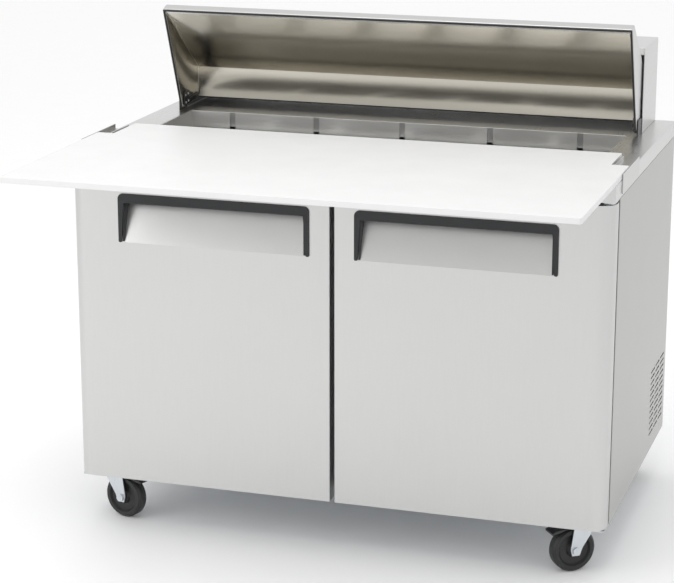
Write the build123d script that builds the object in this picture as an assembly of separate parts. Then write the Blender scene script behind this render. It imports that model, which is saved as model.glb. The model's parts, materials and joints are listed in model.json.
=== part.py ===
from build123d import *
from math import atan2, cos, degrees, radians, sin
import os

# Sandwich prep table: a two-door refrigerated cabinet with a row of food pans in its top, a
# hinged insulated lid that folds back into a rear housing, and a deep cutting board in front.
# Millimetres.  X runs across the front, Y from front to back, Z up, floor at Z = 0.
# The origin is under the middle of the object's bounding box.

# ---- overall sizes ------------------------------------------------------------------------
cabinet_width = 1225.0
cabinet_depth = 762.0
board_overhang = 350.0          # how far the cutting board stands out past the doors
base_height = 117.0             # floor to the underside of the base pan
deck_seam_height = 842.0        # floor to the joint between side panels and deck
deck_thickness = 36.0
housing_height = 198.0          # rear housing, above the deck
housing_depth = 179.0
housing_inset = 47.5            # step between the cabinet's side and the housing's side

# ---- sheet metal and insulation -----------------------------------------------------------
skin = 2.0
side_return = 18.0              # width of the folded front edge of a side panel
foam = 38.0
base_sheet = 4.0
assembly_gap = 0.5              # between sheet pieces that are fastened together
fit_gap = 0.3                   # between a lining piece and what it sits in
vent_rows = 5                   # air slots in the back panel
vent_columns = 9
vent_length = 54.0
vent_slot = 6.0
vent_pitch_x = 66.0
vent_pitch_z = 26.0
mullion_half = 22.0             # centre post, half its width
mullion_depth = 40.0
rail_height = 34.0

# ---- doors --------------------------------------------------------------------------------
door_thickness = 46.0
door_liner_thickness = 11.0
door_gasket_thickness = 7.5
door_gap = 10.0                 # between the two doors
door_edge_radius = 34.0         # rounded outer vertical edge
door_bottom_gap = 2.0           # door bottom above the base pan's underside
door_top_gap = 6.0
liner_inset = 14.0
gasket_width = 16.0
hinge_inset_x = 20.0            # hinge pin from the side of the cabinet
hinge_inset_y = 26.0            # hinge pin behind the door face
hinge_pin_radius = 4.0
hinge_leaf = 3.0
running_gap = 0.06

# ---- door handles -------------------------------------------------------------------------
handle_margin = 51.0            # handle's inner end from the cabinet's middle
handle_length = 446.0
handle_height = 111.0
handle_top_drop = 46.0          # handle's top below the door's top
handle_bar = 21.0
handle_leg = 9.0
handle_proud = 3.5
handle_lip = 12.0
pocket_depth = 32.0
pocket_top_gap = 3.0
pocket_roof = 22.0              # height of the pocket's upright rear wall

# ---- casters ------------------------------------------------------------------------------
wheel_diameter = 101.6
wheel_width = 32.0
caster_inset_x = 64.0
caster_inset_y = 78.0
caster_trail = 22.0
axle_radius = 5.0
fork_gap = 3.0
fork_sheet = 3.0
swivel_plate = 66.0
swivel_race_radius = 27.0
race_height = 5.0
kingpin_radius = 6.0
kingpin_head = 9.0
axle_head_radius = 9.0
brake_lift = 10.0               # degrees that the pedal stands up when released
brake_reach = 46.0              # pedal's tip from its cross pin

# ---- pan opening, pans and lid --------------------------------------------------------------
pans_across = 6
pan_rows = 2
pan_pitch_x = 177.0
pan_pitch_y = 162.0
pan_flange = 7.0
pan_depth = 100.0
pan_sheet = 1.5
pan_clearance = 1.0
pan_recess = 40.0               # pan rims below the deck
well_sheet = 2.0
well_margin = 4.0
well_depth = 40.0               # well below the pan rims
pan_corner = 16.0
pan_draft = 7.0                 # how far each pan wall slopes in
rear_duct = 22.0                # air gap between the last pan and the well's rear wall
duct_slots = 5                  # oblong air slots in the well's rear wall
duct_slot_length = 62.0
duct_slot_height = 14.0
duct_slot_drop = 21.0           # slot's middle below the deck
bar_width = 10.0
bar_height = 6.0
lid_pivot_height = 24.0         # above the deck
lid_pivot_setback = 30.0        # in front of the housing
lid_open_angle = 68.0
lid_reach = 262.0               # pivot to the lid's front edge
lid_front_height = 22.0
lid_rim_back = 10.0             # rim's rear edge behind the pivot
lid_peak_radius = 135.0         # highest corner of the closed lid, from the pivot
lid_peak_angle = 104.0
lid_rear_radius = 108.0         # rear corner of the closed lid, from the pivot
lid_rear_angle = 66.0
lid_wall = 20.0
lid_cheek = 14.0
lid_side_gap = 3.0
lid_liner_sheet = 1.5
lid_gasket_thickness = 4.5
lid_closed_gap = 1.5
pivot_pin_radius = 5.0
housing_lip = 16.0              # folded front edge of the housing's roof

# ---- cutting board ---------------------------------------------------------------------------
board_thickness = 12.7
board_depth = 634.0
board_notch_length = 126.0
board_notch_width = 40.0
board_lift_gap = 0.5
board_side_gap = 0.8
board_corner_radius = 6.0
bracket_sheet = 2.5
bracket_length = 190.0
bracket_rise = 13.0             # bracket's top above the deck
bracket_setback = 22.0          # bracket's rear end in front of the board's

# ---- machine compartment ----------------------------------------------------------------------
machine_depth = 250.0
machine_height = 224.0
louver_rows = 12
louver_columns = 3
louver_length = 54.0
louver_slot = 5.0
louver_pitch_z = 14.0
louver_pitch_y = 64.0
louver_first_y = 42.0           # first column behind the machine compartment's front
louver_first_z = 34.0           # first row above the cabinet's floor
louver_reach = 6.0              # blade's tip inside the panel
condenser_fan_radius = 82.0
condenser_fan_x = 330.0
condenser_fan_rise = 108.0      # fan axis above the cabinet's floor
coil_gap = 42.0                 # fan's middle to the coil's near face
coil_thickness = 44.0
coil_half = 92.0                # half the coil's width
coil_height = 200.0
coil_fins = 14
compressor_x = 60.0
compressor_radius = 74.0
compressor_height = 168.0
compressor_dome = 46.0
motor_radius = 30.0
motor_length = 62.0
fan_shaft_radius = 4.0
evap_fan_radius = 62.0
evap_fan_drop = 190.0           # evaporator's middle below the deck's seam
evap_half_width = 230.0
evap_half_height = 90.0
evap_depth = 74.0
evap_slots = 10                 # air slots each side of the evaporator's fan
gland_x = -420.0
gland_rise = 60.0

# ---- shelves ---------------------------------------------------------------------------------
shelf_height = 470.0
shelf_wire = 3.0
shelf_side_gap = 9.0
shelf_front_gap = 24.0          # shelf's front rim behind the centre post
shelf_depth = 560.0
shelf_wires = 14
clip_height = 22.0

# ---- stations worked out from the sizes above ----------------------------------------------------
half_width = cabinet_width / 2
front_y = (board_overhang - cabinet_depth) / 2
back_y = front_y + cabinet_depth
deck_z = deck_seam_height + deck_thickness
door_back_y = front_y + door_thickness + door_liner_thickness
body_front_y = door_back_y + door_gasket_thickness + 0.3
door_z0 = base_height + door_bottom_gap
door_z1 = deck_seam_height - door_top_gap
floor_z = base_height + base_sheet
housing_half = half_width - housing_inset
housing_front_y = back_y - housing_depth
housing_top_z = deck_z + housing_height
pivot_y = housing_front_y - lid_pivot_setback
pivot_z = deck_z + lid_pivot_height
lid_half = housing_half - skin - lid_side_gap
lid_rim_drop = lid_pivot_height - lid_gasket_thickness - lid_closed_gap
pan_rim_z = deck_z - pan_recess
well_half = pans_across * pan_pitch_x / 2 + well_margin
well_back_y = pivot_y - 5.0
pans_back_y = well_back_y - rear_duct
pans_front_y = pans_back_y - pan_rows * pan_pitch_y
well_front_y = pans_front_y - well_margin
wall_inner_x = half_width - skin - foam
machine_front_y = back_y - machine_depth
machine_top_z = floor_z + machine_height
hinge_x = half_width - hinge_inset_x
hinge_y = front_y + hinge_inset_y
caster_x = half_width - caster_inset_x
axle_z = wheel_diameter / 2
board_back_y = front_y - board_overhang + board_depth
pan_ledge_z = pan_rim_z - pan_sheet - fit_gap
panel_top_z = deck_seam_height - assembly_gap
panel_half = half_width - skin - assembly_gap
panel_back_y = back_y - skin - assembly_gap
handle_x0 = handle_margin
handle_x1 = handle_margin + handle_length
handle_z1 = door_z1 - handle_top_drop
handle_z0 = handle_z1 - handle_height
pocket_x0 = handle_x0 + handle_leg
pocket_x1 = handle_x1 - handle_leg
pocket_z1 = handle_z1 - pocket_top_gap
liner_x0 = door_gap / 2 + 8.0
liner_x1 = half_width - hinge_inset_x - 18.0
liner_z0 = door_z0 + liner_inset
liner_z1 = door_z1 - liner_inset
shelf_front_y = body_front_y + mullion_depth + shelf_front_gap
shelf_seat_z = shelf_height - shelf_wire - fit_gap
race_z1 = base_height - 4.2
race_z0 = race_z1 - race_height
crown_z0 = race_z0 - 3.4
brake_pivot_x = swivel_race_radius + 4.0
brake_pivot_z = crown_z0 - 3.0
unit_y = machine_front_y + machine_depth / 2
fan_z = floor_z + condenser_fan_rise
coil_x0 = condenser_fan_x + coil_gap
evap_y = panel_back_y - foam
condenser_fan_place = (condenser_fan_x, unit_y, fan_z)
evap_fan_place = (0.0, evap_y - evap_depth - 14.0, deck_seam_height - evap_fan_drop)

os.makedirs("parts", exist_ok=True)


# ---- helpers -----------------------------------------------------------------------------------
def slab(x0, x1, y0, y1, z0, z1):
    """A box between two corners."""
    middle = Pos((x0 + x1) / 2, (y0 + y1) / 2, (z0 + z1) / 2)
    return middle * Box(x1 - x0, y1 - y0, z1 - z0)


def prism_x(points, x0, x1):
    """A (y, z) outline pushed along X from x0 to x1."""
    outline = Polyline(*[(x0, y, z) for y, z in points], close=True)
    return extrude(make_face(outline), amount=x1 - x0, dir=(1, 0, 0))


def rod(radius, start, end):
    """A round bar between two points."""
    axis = Vector(*end) - Vector(*start)
    return extrude(Plane(origin=start, z_dir=axis) * Circle(radius), amount=axis.length)


def picture_frame(x0, x1, y0, y1, z0, z1, width):
    """A flat ring standing in the XZ plane."""
    hole = slab(x0 + width, x1 - width, y0 - 1, y1 + 1, z0 + width, z1 - width)
    return slab(x0, x1, y0, y1, z0, z1) - hole


def save(node, *solids):
    """Write one node; several separate solids share it as a group."""
    shape = solids[0] if len(solids) == 1 else Compound(children=list(solids))
    shape.label = node
    export_step(shape, "parts/" + node + ".step")
    return shape


# ---- base, walls and panels ----------------------------------------------------------------------
def base_pan():
    """Flat pan that closes the cabinet's underside and carries the casters."""
    return slab(-panel_half, panel_half, body_front_y, panel_back_y, base_height, floor_z)


def side_skin(z1):
    """Right-hand outer panel with its front edge folded inwards."""
    panel = slab(half_width - skin, half_width, body_front_y, back_y, base_height - 2, z1)
    fold = slab(half_width - side_return, half_width, body_front_y, body_front_y + skin, floor_z + 1, z1)
    panel = panel + fold
    edge = panel.edges().filter_by(Axis.Z).sort_by(lambda e: -e.center().X + e.center().Y)[0]
    return fillet(edge, skin * 0.9)


def louver_field(panel):
    """Ventilation louvres: each slot has a blade pressed inwards from its upper edge."""
    blade_drop = louver_slot * 1.5
    x_in = half_width - skin
    x_tip = x_in - louver_reach
    for row in range(louver_rows):
        z = floor_z + louver_first_z + row * louver_pitch_z
        for column in range(louver_columns):
            y = machine_front_y + louver_first_y + column * louver_pitch_y
            panel = panel - slab(x_in - 1, half_width + 1, y, y + louver_length, z, z + louver_slot)
            top = z + louver_slot + 0.5
            section = [(x_in + 0.5, top), (x_in + 0.5, top + skin), (x_tip, top - blade_drop + skin),
                       (x_tip, top - blade_drop)]
            outline = Polyline(*[(x, y, zz) for x, zz in section], close=True)
            panel = panel + extrude(make_face(outline), amount=louver_length, dir=(0, 1, 0))
    return panel


def back_panel():
    """Rear sheet with a block of air slots behind the condensing unit."""
    sheet = slab(-panel_half, panel_half, back_y - skin, back_y, base_height, panel_top_z)
    holes = []
    for row in range(vent_rows):
        for column in range(vent_columns):
            x = (column - (vent_columns - 1) / 2) * vent_pitch_x
            z = floor_z + gland_rise + row * vent_pitch_z
            holes.append(slab(x - vent_length / 2, x + vent_length / 2, back_y - skin - 1, back_y + 1,
                              z - vent_slot / 2, z + vent_slot / 2))
    return sheet - Compound(children=holes)


def cabinet_walls():
    """Foamed walls: floor, both sides, back and the step over the machine compartment."""
    top = panel_top_z
    outer = panel_half
    front = body_front_y + skin + assembly_gap
    back = panel_back_y
    inner = wall_inner_x
    step_front = machine_front_y - foam
    step_top = machine_top_z + foam
    floor = slab(-inner, inner, front, step_front, floor_z, floor_z + foam)
    sides = []
    for side in (-1, 1):
        xs = sorted((side * inner, side * outer))
        sides.append(slab(xs[0], xs[1], front, machine_front_y, floor_z, top))
        sides.append(slab(xs[0], xs[1], machine_front_y, back, machine_top_z, top))
    step_wall = slab(-inner, inner, step_front, machine_front_y, floor_z, step_top)
    step_roof = slab(-inner, inner, machine_front_y, back, machine_top_z, step_top)
    rear = slab(-inner, inner, back - foam, back, step_top, top)
    return [floor, *sides, step_wall, step_roof, rear]


def front_frame():
    """Centre post and head rail that the door seals close against."""
    top = panel_top_z
    front = body_front_y + 0.2
    post = slab(-mullion_half, mullion_half, front, front + mullion_depth, floor_z + foam, top - rail_height)
    reach = wall_inner_x - assembly_gap
    rail = slab(-reach, reach, front, front + mullion_depth, top - rail_height, top)
    return post + rail


# ---- deck, pan well, bars and pans -----------------------------------------------------------------
def deck_top():
    """Foamed top with the pan opening; its side edges are the bright bands above the panels."""
    top = slab(-half_width, half_width, front_y + 4, back_y, deck_seam_height, deck_z)
    hole = slab(-well_half, well_half, well_front_y, well_back_y, deck_seam_height - 1, deck_z + 1)
    top = top - hole
    edges = top.edges().filter_by(Axis.Y).group_by(Axis.Z)[-1].sort_by(Axis.X)
    return fillet([edges[0], edges[-1]], 2.5)


def pan_well():
    """Collar that lines the opening, with pan ledges and air slots in its rear wall."""
    z0 = pan_rim_z - well_depth
    inner_x = well_half - well_sheet
    inner_y0 = well_front_y + well_sheet
    inner_y1 = well_back_y - well_sheet
    outer = slab(-well_half + fit_gap, well_half - fit_gap, well_front_y + fit_gap, well_back_y - fit_gap,
                 z0, deck_z - fit_gap)
    collar = outer - slab(-inner_x, inner_x, inner_y0, inner_y1, z0 - 1, deck_z + 1)
    low = pan_ledge_z - bar_height
    front_ledge = slab(-inner_x, inner_x, inner_y0 - fit_gap, pans_front_y + 6, low, pan_ledge_z)
    back_ledge = slab(-inner_x, inner_x, pans_back_y - 5, pans_back_y + 7, low, pan_ledge_z)
    collar = collar + front_ledge + back_ledge
    spacing = 2 * well_half / duct_slots
    for index in range(duct_slots):
        x = (index - (duct_slots - 1) / 2) * spacing
        hole = Plane(origin=(x, well_back_y + 1, deck_z - duct_slot_drop), z_dir=(0, -1, 0))
        cutter = extrude(hole * SlotOverall(duct_slot_length, duct_slot_height), amount=well_sheet + 3)
        collar = collar - cutter
    return collar


def divider_bars():
    """Bars between the pans: one along the middle and short ones across."""
    z0, z1 = pan_ledge_z - bar_height, pan_ledge_z
    reach = well_half - well_sheet - assembly_gap
    half = bar_width / 2
    middle_y = pans_front_y + pan_pitch_y
    solids = [slab(-reach, reach, middle_y - half, middle_y + half, z0, z1)]
    y_spans = [(pans_front_y + 6.5, middle_y - half - assembly_gap),
               (middle_y + half + assembly_gap, pans_back_y - 5.5)]
    for index in range(1, pans_across):
        x = (index - pans_across / 2) * pan_pitch_x
        for y0, y1 in y_spans:
            solids.append(slab(x - half, x + half, y0, y1, z0, z1))
    return solids


def food_pan(x, y):
    """Sixth-size pan: drawn body with sloping sides, rounded corners and a flat rim."""
    rim_x = pan_pitch_x - 2 * pan_clearance
    rim_y = pan_pitch_y - 2 * pan_clearance
    slope = degrees(atan2(pan_draft, pan_depth))

    def body(shrink, depth):
        mouth = Plane(origin=(x, y, pan_rim_z)) * RectangleRounded(
            rim_x - 2 * pan_flange - 2 * shrink, rim_y - 2 * pan_flange - 2 * shrink, pan_corner - shrink)
        return extrude(mouth, amount=-depth, taper=slope)

    rim = Plane(origin=(x, y, pan_rim_z)) * RectangleRounded(rim_x, rim_y, 8)
    pan = extrude(rim, amount=-pan_sheet) + body(0, pan_depth)
    return pan - body(pan_sheet, pan_depth - pan_sheet)


# ---- rear housing and lid ----------------------------------------------------------------------------
def rear_housing():
    """Bent sheet cover behind the pans: top, back, two sides and a front lip."""
    x = housing_half
    y0, y1 = housing_front_y, back_y
    z0, z1 = deck_z + 0.3, housing_top_z
    block = slab(-x, x, y0, y1, z0, z1)
    top_edges = block.edges().group_by(Axis.Z)[-1].filter_by(Axis.Y)
    block = fillet(top_edges, 3.0)
    hollow = slab(-x + skin, x - skin, y0 - 1, y1 - skin, z0 - 1, z1 - skin)
    lip = slab(-x + skin, x - skin, y0, y0 + skin, z1 - housing_lip, z1 - skin)
    return (block - hollow) + lip


def lid_outline(inset):
    """Closed lid's side outline about its pivot, walls moved inwards by the given inset."""
    peak_r = lid_peak_radius - inset
    rear_r = lid_rear_radius - inset
    peak = (peak_r * cos(radians(lid_peak_angle)), peak_r * sin(radians(lid_peak_angle)))
    rear = (rear_r * cos(radians(lid_rear_angle)), rear_r * sin(radians(lid_rear_angle)))
    rim = -lid_rim_drop - (1.0 if inset else 0.0)
    front = -lid_reach + inset
    shoulder = lid_front_height - lid_rim_drop - inset * 0.85
    return [(front, rim), (front, shoulder), peak, rear, (lid_rim_back - inset * 1.05, rim)]


def swing_open(shape):
    """Turn a lid piece drawn closed about the origin into its open place."""
    return Pos(0, pivot_y, pivot_z) * Rot(-lid_open_angle, 0, 0) * shape


def lid_body(inset, side_inset):
    """Solid prism with the lid's outline."""
    x = lid_half - side_inset
    return prism_x(lid_outline(inset), -x, x)


def lid_shell():
    """Insulated hood: the outer skin and foam, with bearings for the pivots in its cheeks."""
    hood = lid_body(0, 0)
    crest = hood.edges().filter_by(Axis.X).sort_by(Axis.Z)[-2:]
    hood = fillet(crest, 9.0)
    front_corners = hood.edges().filter_by(Axis.Z).group_by(Axis.Y)[0]
    hood = fillet(front_corners, 8.0)
    hood = hood - lid_body(lid_wall, lid_cheek)
    bore = rod(pivot_pin_radius + running_gap, (-lid_half - 1, 0, 0), (lid_half + 1, 0, 0))
    return swing_open(hood - bore)


def lid_liner():
    """Bright inner skin that follows the hood's hollow."""
    thick = lid_liner_sheet
    outside = lid_body(lid_wall + fit_gap, lid_cheek + fit_gap)
    liner = outside - lid_body(lid_wall + fit_gap + thick, lid_cheek + fit_gap + thick)
    trim = slab(-lid_half, lid_half, -400, 200, -lid_rim_drop - 20, -lid_rim_drop)
    bore = rod(pivot_pin_radius + 3, (-lid_half - 1, 0, 0), (lid_half + 1, 0, 0))
    return swing_open(liner - trim - bore)


def lid_gasket():
    """Soft seal round the lid's rim."""
    z1 = -lid_rim_drop
    z0 = z1 - lid_gasket_thickness
    x, y0, y1, width = lid_half - 3, -lid_reach + 3, lid_rim_back - 3, 11.0
    ring = slab(-x, x, y0, y1, z0, z1)
    ring = ring - slab(-x + width, x - width, y0 + width, y1 - width, z0 - 1, z1 + 1)
    return swing_open(ring)


def lid_hinge_plates():
    """Black plates inside the cheeks that carry the pivot bearings."""
    solids = []
    for side in (-1, 1):
        x0 = lid_half - lid_cheek - lid_liner_sheet - 0.4 - 3.0
        xs = sorted((side * x0, side * (x0 + 3.0)))
        plate = slab(xs[0], xs[1], -62, -18, -lid_rim_drop + 1, 18)
        plate = fillet(plate.edges().filter_by(Axis.X), 5)
        solids.append(swing_open(plate))
    return solids


def lid_brackets():
    """Upright plates beside the lid with the fixed pivot pins."""
    solids = []
    for side in (-1, 1):
        x0 = lid_half + 0.5
        x1 = housing_half - skin - 0.1
        xs = sorted((side * x0, side * x1))
        plate = slab(xs[0], xs[1], pivot_y - 16, pivot_y + 30, deck_z, pivot_z + 14)
        top = plate.edges().filter_by(Axis.X).group_by(Axis.Z)[-1]
        plate = fillet(top, 8)
        pin_end = side * (lid_half - lid_cheek + 2)
        pin = rod(pivot_pin_radius, (side * x0, pivot_y, pivot_z), (pin_end, pivot_y, pivot_z))
        solids.append(plate + pin)
    return solids


# ---- cutting board ------------------------------------------------------------------------------------
def cutting_board():
    """Deep board, notched at its rear corners to pass between the brackets."""
    z0 = deck_z + board_lift_gap
    y0, y1 = board_back_y - board_depth, board_back_y
    half = half_width - board_side_gap
    board = slab(-half, half, y0, y1, z0, z0 + board_thickness)
    for side in (-1, 1):
        xs = sorted((side * (half_width - board_notch_width), side * (half_width + 1)))
        board = board - slab(xs[0], xs[1], y1 - board_notch_length, y1 + 1, z0 - 1, z0 + 40)
    front = board.edges().filter_by(Axis.Z).group_by(Axis.Y)[0]
    board = fillet(front, board_corner_radius)
    rims = board.faces().sort_by(Axis.Z)[-1].edges()
    return fillet(rims, 1.5)


def board_bracket(side):
    """Plate screwed to the deck's side, with a flange that keeps the board in place."""
    y1 = board_back_y - bracket_setback
    y0 = y1 - bracket_length
    outer = slab(half_width, half_width + bracket_sheet, y0, y1, deck_seam_height + 5, deck_z + bracket_rise)
    corners = outer.edges().filter_by(Axis.X).group_by(Axis.Z)[0]
    outer = fillet(corners, 6)
    in_x = half_width - board_notch_width + 6
    notch_y0 = board_back_y - board_notch_length + 4
    flange = slab(in_x, half_width + bracket_sheet, notch_y0, y1, deck_z + 0.2, deck_z + 0.2 + bracket_sheet)
    curb = slab(in_x, in_x + bracket_sheet, notch_y0, y1, deck_z + 0.2, deck_z + bracket_rise)
    bracket = outer + flange + curb
    bracket = bracket - slab(half_width - 3, half_width, y0 - 1, y1 + 1, 0, deck_z)
    return bracket if side > 0 else bracket.mirror(Plane.YZ)


# ---- doors ----------------------------------------------------------------------------------------------
def door_shell(side):
    """Foamed door with a large radius on its outer edge and a sloping finger pocket."""
    x0, x1 = door_gap / 2, half_width
    door = slab(x0, x1, front_y, front_y + door_thickness, door_z0, door_z1)
    outer_edge = door.edges().filter_by(Axis.Z).sort_by(lambda e: e.center().X - e.center().Y)[-1]
    door = fillet(outer_edge, door_edge_radius)
    inner_edge = door.edges().filter_by(Axis.Z).sort_by(lambda e: e.center().X + e.center().Y)[0]
    door = fillet(inner_edge, 3.0)
    y = front_y
    pocket_side = [(y - 1, handle_z0 - 2.7), (y, handle_z0), (y + pocket_depth, pocket_z1 - pocket_roof),
                   (y + pocket_depth, pocket_z1), (y - 1, pocket_z1)]
    door = door - prism_x(pocket_side, pocket_x0, pocket_x1)
    pin_hole = hinge_pin_radius + running_gap
    depth = 22.0
    for z0, z1 in ((door_z0 - 1, door_z0 + depth), (door_z1 - depth, door_z1 + 1)):
        door = door - rod(pin_hole, (hinge_x, hinge_y, z0), (hinge_x, hinge_y, z1))
    return door if side > 0 else door.mirror(Plane.YZ)


def door_liner(side):
    """Moulded inner panel with a raised field inside the seal."""
    y0 = front_y + door_thickness
    plate = slab(liner_x0, liner_x1, y0, door_back_y, liner_z0, liner_z1)
    margin = gasket_width + 22
    field = slab(liner_x0 + margin, liner_x1 - margin, y0, door_back_y + 14,
                 liner_z0 + margin + 26, liner_z1 - margin - 26)
    raised = field.edges().filter_by(Axis.Y)
    field = fillet(raised, 12)
    liner = plate + field
    return liner if side > 0 else liner.mirror(Plane.YZ)


def door_gasket(side):
    """Magnetic seal on the liner's edge."""
    y1 = door_back_y + door_gasket_thickness
    seal = picture_frame(liner_x0 + 1, liner_x1 - 1, door_back_y, y1, liner_z0 + 1, liner_z1 - 1,
                         gasket_width)
    return seal if side > 0 else seal.mirror(Plane.YZ)


def door_handle(side):
    """Moulded grip: a bar with a hooked lip and two tapering legs down the pocket's ends."""
    y0 = front_y - handle_proud
    ends = [(handle_x0, handle_z0), (handle_x0, handle_z1), (handle_x1, handle_z1), (handle_x1, handle_z0),
            (handle_x1 - 3, handle_z0), (handle_x1 - handle_leg - 4, handle_z1 - handle_bar),
            (handle_x0 + handle_leg + 4, handle_z1 - handle_bar), (handle_x0 + 3, handle_z0)]
    outline = Polyline(*[(x, y0, z) for x, z in ends], close=True)
    face_plate = extrude(make_face(outline), amount=handle_proud, dir=(0, 1, 0))
    lip_z0, lip_z1 = handle_z1 - handle_bar, pocket_z1 - 2
    lip = slab(pocket_x0 + 1, pocket_x1 - 1, front_y - 1, front_y + handle_lip, lip_z0, lip_z1)
    inner = lip.edges().filter_by(Axis.X).sort_by(Axis.Y)[-2:]
    lip = fillet(inner, 3.5)
    grip = face_plate + lip
    return grip if side > 0 else grip.mirror(Plane.YZ)


def hinge_pair(side):
    """Top and bottom hinge brackets with their pins, fixed to the cabinet's front."""
    x0, x1 = half_width - side_return - 12, half_width - skin - 0.6
    y0, y1 = hinge_y - 12, body_front_y
    solids = []
    spans = ((base_height - hinge_leaf - 0.2, base_height - 0.2, door_z0 + 18),
             (door_z1 + 1.5, door_z1 + 1.5 + hinge_leaf, door_z1 - 18))
    for low, high, pin_end in spans:
        leaf = slab(x0, x1, y0, y1 + 18, low, high) if low < base_height else slab(x0, x1, y0, y1, low, high)
        corners = leaf.edges().filter_by(Axis.Z).group_by(Axis.Y)[0]
        leaf = fillet(corners, 7)
        pin = rod(hinge_pin_radius, (hinge_x, hinge_y, (low + high) / 2), (hinge_x, hinge_y, pin_end))
        bracket = leaf + pin
        solids.append(bracket if side > 0 else bracket.mirror(Plane.YZ))
    return solids


# ---- shelves ------------------------------------------------------------------------------------------
def wire_shelf(side):
    """Wire shelf: a heavy rim with cross rails and thin wires welded on top."""
    x0 = mullion_half + shelf_side_gap
    x1 = wall_inner_x - shelf_side_gap
    y0 = shelf_front_y
    y1 = y0 + shelf_depth
    z = shelf_height
    shelf = None
    for y in (y0, (y0 + y1) / 2, y1):
        rail = slab(x0, x1, y - shelf_wire, y + shelf_wire, z - shelf_wire, z + shelf_wire)
        shelf = rail if shelf is None else shelf + rail
    for x in (x0, x1):
        end = slab(x - shelf_wire, x + shelf_wire, y0 - shelf_wire, y1 + shelf_wire, z - shelf_wire,
                   z + shelf_wire)
        shelf = shelf + end
    pitch = (x1 - x0) / (shelf_wires + 1)
    for index in range(1, shelf_wires + 1):
        x = x0 + index * pitch
        wire = slab(x - 1.25, x + 1.25, y0 - shelf_wire, y1 + shelf_wire, z + shelf_wire - 0.5,
                    z + shelf_wire + 2)
        shelf = shelf + wire
    return shelf if side > 0 else shelf.mirror(Plane.YZ)


def shelf_clips():
    """Clips on the side walls that the shelf rims rest on."""
    solids = []
    for side in (-1, 1):
        xs = sorted((side * (wall_inner_x - 14), side * (wall_inner_x - fit_gap)))
        for y in (shelf_front_y + 60, shelf_front_y + shelf_depth - 60):
            solids.append(slab(xs[0], xs[1], y - 8, y + 8, shelf_seat_z - clip_height, shelf_seat_z))
    return solids


def shelf_post():
    """Centre pilaster between the two bays that carries the shelves' inner ends."""
    y0 = shelf_front_y
    reach = mullion_half + 14
    z1 = shelf_seat_z
    beam = slab(-reach, reach, y0 - 2, y0 + shelf_depth + 2, z1 - 20, z1)
    post = slab(-8, 8, y0 + 40, y0 + 70, floor_z + foam, z1 - 20)
    return beam + post


# ---- casters --------------------------------------------------------------------------------------------
def caster_place(x, y, turn):
    """Local caster frame: swivel axis at the origin, trail along +X, then turned and moved."""
    return Pos(x, y, 0) * Rot(0, 0, turn)


def caster_wheel():
    """Moulded wheel: rounded tread, dished web and a hub bored for the axle."""
    r = wheel_diameter / 2
    half = wheel_width / 2
    bore = axle_radius + running_gap
    points = [(bore, -half), (14, -half), (18, -9), (34, -9), (38, -half + 1), (r - 5, -half + 1),
              (r, -half + 7), (r, half - 7), (r - 5, half - 1), (38, half - 1), (34, 9), (18, 9),
              (14, half), (bore, half)]
    outline = Polyline(*[(px, py, 0) for px, py in points], close=True)
    ring = revolve(make_face(outline), axis=Axis.Y)
    return Pos(caster_trail, 0, axle_z) * ring


def caster_fork():
    """Pressed fork: crown, two tapering legs and the lower swivel race."""
    half = wheel_width / 2 + fork_gap
    crown = slab(-25, 27, -half - fork_sheet, half + fork_sheet, crown_z0, race_z0 - 0.2)
    race = rod(swivel_race_radius - 3, (0, 0, race_z0 - 0.4), (0, 0, race_z1 - 0.3))
    fork = crown + race
    fork = fork - rod(kingpin_radius + running_gap, (0, 0, crown_z0 - 1), (0, 0, race_z1 + 1))
    top = crown_z0 + 1
    leg_side = [(-25, top), (27, top), (caster_trail + 13, axle_z + 4), (caster_trail + 9, axle_z - 11),
                (caster_trail - 9, axle_z - 11), (caster_trail - 15, axle_z + 6)]
    for side in (-1, 1):
        y0 = side * half if side > 0 else -half - fork_sheet
        outline = Polyline(*[(x, y0, z) for x, z in leg_side], close=True)
        leg = extrude(make_face(outline), amount=fork_sheet, dir=(0, 1, 0))
        fork = fork + leg
    return fork


def caster_axle():
    """Axle bolt with a round head and a nut."""
    half = wheel_width / 2 + fork_gap + fork_sheet
    bolt = rod(axle_radius, (caster_trail, -half - 4, axle_z), (caster_trail, half + 4, axle_z))
    head = rod(axle_head_radius, (caster_trail, -half - 5, axle_z), (caster_trail, -half - 0.1, axle_z))
    nut = extrude(Plane(origin=(caster_trail, half + 0.1, axle_z), z_dir=(0, 1, 0)) * RegularPolygon(9.5, 6),
                  amount=5)
    return bolt + head + nut


def caster_brake():
    """Foot pedal that tips about a cross pin and presses on the tread."""
    half = wheel_width / 2 + fork_gap - 0.6
    wall_r = wheel_diameter / 2 + 2.2
    tip = brake_pivot_x + brake_reach
    arm = [(brake_pivot_x - 1, brake_pivot_z + 4), (brake_pivot_x + 30, brake_pivot_z - 4),
           (tip, brake_pivot_z - 12), (tip - 1, brake_pivot_z - 17),
           (brake_pivot_x + 27, brake_pivot_z - 10), (brake_pivot_x - 1, brake_pivot_z - 1)]
    outline = Polyline(*[(x, -half, z) for x, z in arm], close=True)
    pedal = extrude(make_face(outline), amount=2 * half, dir=(0, 1, 0))
    clear = rod(wall_r, (caster_trail, -half - 1, axle_z), (caster_trail, half + 1, axle_z))
    pedal = pedal - clear
    raised = Pos(brake_pivot_x, 0, brake_pivot_z) * Rot(0, -brake_lift, 0)
    return raised * Pos(-brake_pivot_x, 0, -brake_pivot_z) * pedal


casters = {
    "front_left": (-caster_x, front_y + caster_inset_y, -15.0, True),
    "front_right": (caster_x, front_y + caster_inset_y, 180.0 + 38.0, True),
    "rear_left": (-caster_x, back_y - caster_inset_y, 115.0, False),
    "rear_right": (caster_x, back_y - caster_inset_y, 100.0, False),
}


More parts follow.
